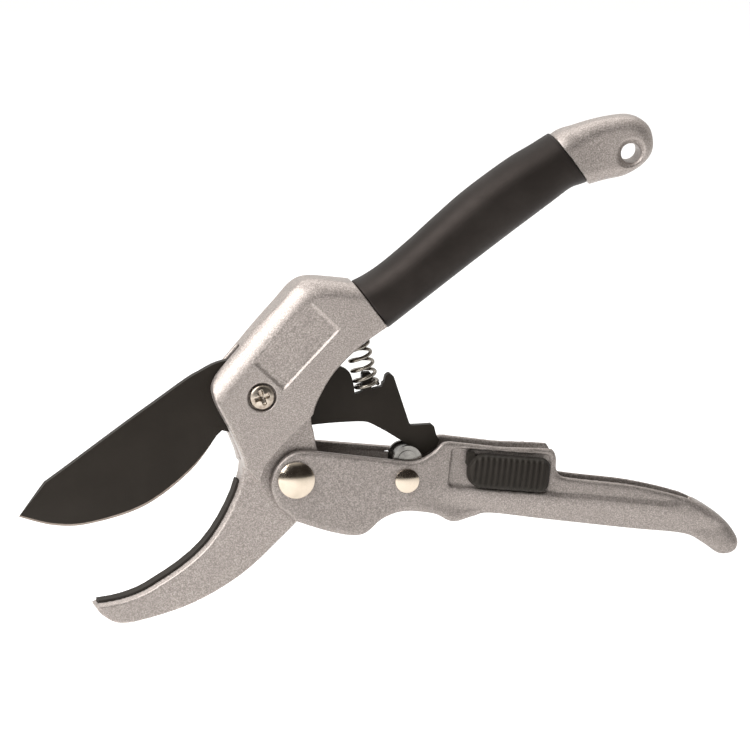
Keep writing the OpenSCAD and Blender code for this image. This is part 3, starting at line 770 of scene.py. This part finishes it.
def blade():
    """A flat plate with two ground bevels, and a mark of 1 on the faces of the bright edge."""
    count = len(EDGE)
    honed, keen_edge = up_the_bevel(HONED_PART), up_the_bevel(KEEN_PART)
    outline_points = BEVEL + BLADE_BACK + SPRING_SEAT + BLADE_TAIL
    points, faces, marks = [], [], []

    def add(flat, y):
        points.extend([(p[0], y, p[1]) for p in flat])
        return list(range(len(points) - len(flat), len(points)))

    front, back = add(outline_points, -BLADE_HALF), add(outline_points, BLADE_HALF)
    faces += [front[::-1], back]
    marks += [0, 0]
    # The back and the tail run from the last point of the bevel round to its first.
    n = len(outline_points)
    for i in range(count - 1, n):
        j = (i + 1) % n
        faces.append([front[i], front[j], back[j], back[i]])
        marks.append(0)
    rims = []
    for side, flat in ((-1, front), (1, back)):
        middle, tip = add(honed, side * HONED_HALF), add(keen_edge, side * KEEN_HALF)
        for a, b, kind in ((flat, middle, 0), (middle, tip, 1)):
            for i in range(count - 1):
                quad = [a[i], a[i + 1], b[i + 1], b[i]]
                faces.append(quad if side < 0 else quad[::-1])
                marks.append(kind)
        rims.append((middle, tip))
    for i in range(count - 1):
        a, b = rims[0][1], rims[1][1]
        faces.append([a[i], a[i + 1], b[i + 1], b[i]])
        marks.append(1)
    # The two ends of the bevels.
    for i in (0, count - 1):
        loop = [front[i], rims[0][0][i], rims[0][1][i], rims[1][1][i], rims[1][0][i], back[i]]
        faces.append(loop if i == 0 else loop[::-1])
        marks.append(0)
    piece = new_object("cutting_blade", points, faces, smooth=False)
    bm = bmesh.new()
    bm.from_mesh(piece.data)
    bmesh.ops.remove_doubles(bm, verts=bm.verts, dist=0.00001)
    bmesh.ops.recalc_face_normals(bm, faces=bm.faces)
    bm.to_mesh(piece.data)
    bm.free()
    return piece, marks


blade_piece, blade_marks = blade()
finish_piece(blade_piece, COAT, "blade", "blade")
blade_piece.data.materials.append(GROUND)
for face, mark in zip(blade_piece.data.polygons, blade_marks):
    face.material_index = mark
soften(blade_piece, 0.22, angle=30).harden_normals = True
blade_piece.data.shade_smooth()


# ---------------------------------------------------------------- turned pieces
def turned_piece(name, at, profile, segments=96):
    """A turned piece with its axis along Y; the profile is (radius, y) from end to end."""
    points, faces, rings = [], [], []
    for r, y in profile:
        if r < 1e-6:
            points.append((at[0], y, at[1]))
            rings.append([len(points) - 1])
            continue
        angles = np.linspace(0, 2 * math.pi, segments, endpoint=False)
        points.extend([(at[0] + r * math.cos(a), y, at[1] + r * math.sin(a)) for a in angles])
        rings.append(list(range(len(points) - segments, len(points))))
    for a, b in zip(rings, rings[1:]):
        for i in range(segments):
            j = (i + 1) % segments
            quad = [a[i % len(a)], a[j % len(a)], b[j % len(b)], b[i % len(b)]]
            faces.append(list(dict.fromkeys(quad)))
    return new_object(name, points, faces)


def dome_profile(head_r, rise, base, side, steps=14):
    """A low dome with a small rounded rim, from its top down to its rim."""
    ball = (head_r ** 2 + rise ** 2) / (2 * rise)
    arc = []
    for i in range(steps + 1):
        r = head_r * math.sin(math.pi / 2 * i / steps)
        arc.append((r, side * (base + math.sqrt(ball ** 2 - r ** 2) - ball + rise)))
    return arc


def rivet(name, at, shank_r, head_r, rise):
    """A rivet through both plates, with a low dome at each end."""
    base, seat = CLEVIS_HALF + 0.22, CLEVIS_HALF + 0.02
    front = dome_profile(head_r, rise, base, -1) + [(head_r - 0.05, -seat), (shank_r, -seat)]
    back = [(r, -y) for r, y in front[::-1]]
    return turned_piece(name, at, front + back)


finish_piece(rivet("big_rivet", HANDLE_AXIS, 3.0, 5.2, 1.5), NICKEL, "lower_handle",
             "handle_rivet")
finish_piece(rivet("small_rivet", LINK_AXIS, 1.5, 3.4, 0.7), NICKEL, "lower_handle",
             "link_rivet")


# The rise of the head's dome, and how far its rim lies below the casting's face.
HEAD_RISE, HEAD_REST = 0.8, 0.1
SHANK_R = 2.5
CROSS_TURN, CROSS_REACH = 20, 2.15
CROSS_HALF, CROSS_DEPTH = 0.55, 1.3


def pan_screw(x, y, z):
    """The shank and a low domed head with a tapering cross recess."""
    r = np.hypot(x, z)
    rim = HEAD_HALF - HEAD_REST
    ball = (SCREW_HEAD_R ** 2 + HEAD_RISE ** 2) / (2 * HEAD_RISE)
    front = np.sqrt(x ** 2 + z ** 2 + (y + rim + HEAD_RISE - ball) ** 2) - ball
    head_shape = common(r - SCREW_HEAD_R, front, 0.35)
    head_shape = common(head_shape, y + HEAD_HALF - COUNTERBORE_DEPTH, 0.1)
    shank = np.maximum(r - SHANK_R, np.abs(y) - HEAD_HALF + 0.5)
    shape = np.minimum(head_shape, shank)
    turn = math.radians(CROSS_TURN)
    u, v = x * math.cos(turn) + z * math.sin(turn), z * math.cos(turn) - x * math.sin(turn)
    depth = -y - rim + CROSS_DEPTH - 0.35 * r
    for a, b in ((u, v), (v, u)):
        wing = np.maximum(np.abs(a) - CROSS_HALF - 0.05 * depth, np.abs(b) - CROSS_REACH)
        shape = cut(shape, common(wing, -depth, 0.2), 0.16)
    return shape


finish_piece(cast_piece("pan_screw", pan_screw, (-3.8, -9.2, -3.8), (3.8, 8.0, 3.8), 0.11),
             SCREW, "frame", "pivot_screw")


# ---------------------------------------------------------------- return spring
WIRE_D, TURNS, DEAD_TURNS = 1.1, 8.5, 1.1
STEPS_PER_TURN, WIRE_SIDES = 40, 14
END_GAP = 0.25


def coil_spring(foot, lean, length, outer_r, wire_d, turns):
    """A wound wire with closed ends, standing on the blade tail."""
    n, sides = int(turns * STEPS_PER_TURN), WIRE_SIDES
    mean, rise = outer_r - wire_d / 2, length - wire_d - 2 * END_GAP
    dead = DEAD_TURNS / turns
    points, faces = [], []
    tilt = math.radians(lean)

    def height(s):
        """Height at a part of the wire's length: flat dead turns at both ends, even between."""
        if s < dead:
            return wire_d * turns / rise * s * 0.98
        if s > 1 - dead:
            return 1 - height(1 - s)
        low = height(dead - 1e-6)
        return low + (s - dead) * (1 - 2 * low) / (1 - 2 * dead)

    for i in range(n + 1):
        a, h = 2 * math.pi * turns * i / n, height(i / n) * rise
        for k in range(sides):
            b = 2 * math.pi * k / sides
            r = mean + wire_d / 2 * math.cos(b)
            w = h + wire_d / 2 * (1 + math.sin(b)) + END_GAP
            u, v = r * math.cos(a), r * math.sin(a)
            points.append((foot[0] + u * math.cos(tilt) - w * math.sin(tilt), v,
                           foot[1] + u * math.sin(tilt) + w * math.cos(tilt)))
    for i in range(n):
        for k in range(sides):
            a, b = sides * i + k, sides * i + (k + 1) % sides
            faces.append([a, b, b + sides, a + sides])
    faces += [list(range(sides))[::-1], list(range(sides * n, sides * (n + 1)))]
    return new_object("coil_spring", points, faces)


spring = finish_piece(coil_spring(SPRING_FOOT, SPRING_LEAN, SPRING_LENGTH, SPRING_R, WIRE_D,
                                  TURNS), WIRE, "frame", "return_spring")
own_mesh(spring)


# ---------------------------------------------------------------- lock button
RIBS, RIB_HEIGHT = 13, 0.17
# The pad's height over the rail, and the half-thickness of the plate under it.
PAD_HEIGHT, PLATE_HALF = 2.1, 0.88


def button(x, y, z):
    """A plate in the pocket, a crowned pad with cross ribs on it, and a neck through the slot."""
    u, v = track_coords(x, z)
    depth = -y
    half_long, half_high = BUTTON_LONG / 2, BUTTON_HIGH / 2
    corner = 4.4 - 1.8 * ramp(u, -4, 4)
    flat = box2(u - 0.4, v + 0.3, half_long - 0.2, half_high - 0.35, corner)
    catch = box2(u + half_long - 1.2, v - 2.9, 1.2, 1.9, 0.3)
    plate = np.maximum(np.minimum(flat, catch), np.abs(depth - RAIL_HALF + 0.3) - PLATE_HALF)
    crown = RAIL_HALF + PAD_HEIGHT - 0.05 * v ** 2 / 4
    pitch = (BUTTON_LONG - 2.6) / RIBS
    wave = np.cos((u - 0.02 * v) / pitch * 2 * math.pi)
    ends = ramp(np.abs(u), half_long - 0.4, half_long - 1.6)
    ribs = RIB_HEIGHT * np.clip(wave * 1.3, -1, 1) * ends
    pad = common(flat + 0.25, depth - crown - ribs, 1.3)
    pad = np.maximum(pad, RAIL_HALF - 0.6 - depth)
    neck = np.maximum(box2(u, v, 4.8, 2.0, 0.5), np.abs(depth - 5.2) - 1.2)
    return np.minimum(np.minimum(plate, pad), neck)


finish_piece(cast_piece("ribbed_button", button, (56.5, -9.6, -32.5), (84, -3.4, -16), 0.2),
             PLASTIC, "lock", "lock_button")


# ---------------------------------------------------------------- CAD pieces that stay
# Each one's material and the width of its rounded edges.
KEPT = {"anvil_plate": (ANVIL, 0.2), "anvil_pegs": (ZINC, 0.1), "pivot_nut": (ZINC, 0.25),
        "blade_washers": (ZINC, 0.08), "handle_bush": (ZINC, 0.1), "handle_washers": (ZINC, 0.08),
        "rocker": (ROLLER, 0.2), "roller": (ROLLER, 0.3), "roller_pin": (ROLLER, 0.15),
        "lock_bolt": (ZINC, 0.15), "lock_rivet": (ZINC, 0.1), "lock_detent": (ZINC, 0.08)}
for node, (material, width) in KEPT.items():
    piece = frame["nodes"][node]
    for slot in piece.material_slots:
        slot.material = material
    soften(piece, width)


# ---------------------------------------------------------------- floor, light and camera
FLOOR_SIZE, FLOOR_DROP, FLOOR_GLOW = 8, 0.03, 0.19
BACK_WALL, CEILING, DARK_WALL = (1, 0.995, 0.98), (0.8, 0.785, 0.76), (0.035, 0.03, 0.027)


def floor_material():
    """White and faintly lit, so that it is even all over."""
    material = bpy.data.materials.new("pale_floor")
    material.use_nodes = True
    shader = material.node_tree.nodes["Principled BSDF"]
    shader.inputs["Base Color"].default_value = (0.9, 0.9, 0.9, 1)
    shader.inputs["Roughness"].default_value = 0.9
    shader.inputs["Emission Color"].default_value = (1, 1, 1, 1)
    shader.inputs["Emission Strength"].default_value = FLOOR_GLOW
    return material


low, high = np.array(cad_box[0]), np.array(cad_box[1])
centre = (low + high) / 2
bpy.ops.mesh.primitive_plane_add(size=FLOOR_SIZE,
                                 location=(centre[0], centre[1], low[2] - FLOOR_DROP))
floor = bpy.context.object
floor.name = "floor"
floor.data.materials.append(floor_material())


def studio(world):
    """Pale behind the tool, greyer overhead, and dark behind the camera up to a ceiling."""
    tree = world.node_tree
    coords = tree.nodes.new("ShaderNodeTexCoord")
    split = tree.nodes.new("ShaderNodeSeparateXYZ")
    tree.links.new(coords.outputs["Generated"], split.inputs["Vector"])

    def level(axis, start, end):
        """Rises from 0 to 1 along one axis of the view direction."""
        node = tree.nodes.new("ShaderNodeMapRange")
        node.inputs["From Min"].default_value = start
        node.inputs["From Max"].default_value = end
        tree.links.new(split.outputs[axis], node.inputs["Value"])
        return node.outputs["Result"]

    def mixed(factor, a, b):
        """Two colours or colour outputs, mixed by the factor."""
        node = tree.nodes.new("ShaderNodeMix")
        node.data_type = "RGBA"
        for socket, value in ((node.inputs["A"], a), (node.inputs["B"], b)):
            if isinstance(value, tuple):
                socket.default_value = (*value, 1)
            else:
                tree.links.new(value, socket)
        tree.links.new(factor, node.inputs["Factor"])
        return node.outputs["Result"]

    back = mixed(level("Z", 0.05, 0.6), BACK_WALL, CEILING)
    front = mixed(level("Z", 0.62, 0.80), DARK_WALL, CEILING)
    both = mixed(level("Y", -0.12, -0.45), back, front)
    background = tree.nodes["Background"]
    tree.links.new(both, background.inputs["Color"])
    background.inputs["Strength"].default_value = 1.0


world = bpy.data.worlds.new("studio")
bpy.context.scene.world = world
world.use_nodes = True
studio(world)


def soft_light(name, place, size, energy):
    """A rectangular area light, aimed at the tool's centre."""
    data = bpy.data.lights.new(name, "AREA")
    data.shape = "RECTANGLE"
    data.size, data.size_y = size
    data.energy = energy
    light = bpy.data.objects.new(name, data)
    bpy.context.scene.collection.objects.link(light)
    light.location = centre + np.array(place)
    aim = Vector(centre) - light.location
    light.rotation_euler = aim.to_track_quat("-Z", "Y").to_euler()


soft_light("key", (-0.44, -0.23, 0.42), (0.60, 0.55), 7.5)
soft_light("top", (0.1, 0.5, 1.2), (1.2, 1.2), 8)

AZIMUTH, ELEVATION = math.radians(-11), math.radians(11)
DISTANCE, FRAME_WIDTH = 3.0, 0.210
AIM_RIGHT, AIM_UP = 0.0330, 0.0048
right = Vector((math.cos(AZIMUTH), math.sin(AZIMUTH), 0))
forward = Vector((-math.sin(AZIMUTH) * math.cos(ELEVATION),
                  math.cos(AZIMUTH) * math.cos(ELEVATION),
                  -math.sin(ELEVATION)))
up = right.cross(forward)
target = Vector(ORIGIN) + right * AIM_RIGHT + up * AIM_UP
camera_data = bpy.data.cameras.new("camera")
camera_data.sensor_width = 36
camera_data.lens = camera_data.sensor_width * DISTANCE / FRAME_WIDTH
camera = bpy.data.objects.new("camera", camera_data)
bpy.context.scene.collection.objects.link(camera)
camera.location = target - forward * DISTANCE
camera.rotation_euler = forward.to_track_quat("-Z", "Y").to_euler()
bpy.context.scene.camera = camera
bpy.context.scene.view_settings.view_transform = "Standard"
